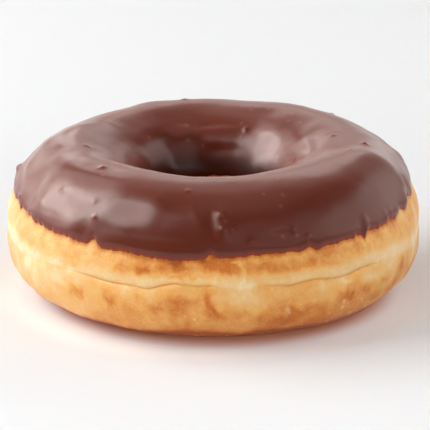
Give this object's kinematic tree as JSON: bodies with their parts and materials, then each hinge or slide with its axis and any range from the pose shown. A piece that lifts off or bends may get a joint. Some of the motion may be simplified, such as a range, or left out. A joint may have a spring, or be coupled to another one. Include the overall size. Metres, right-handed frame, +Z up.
{
  "type": "chocolate iced ring doughnut",
  "caption": "Raised ring doughnut with a golden fried crust, a pale creased belly and a thin coat of dark chocolate icing over its top.",
  "frame": {"origin": "middle of the ring's footprint, on the surface that it rests on", "axes": "+Z up through the hole, -Y towards the front, +X to the right seen from the front"},
  "size_m": [0.09, 0.0896, 0.0339],
  "materials": {
    "fried_dough": "soft satin, golden brown with a paler belt round the belly",
    "chocolate_icing": "smooth satin gloss, dark milk-chocolate brown"
  },
  "bodies": {
    "root": {"dough_ring": "fried_dough", "chocolate_icing": "chocolate_icing"}
  },
  "joints": []
}
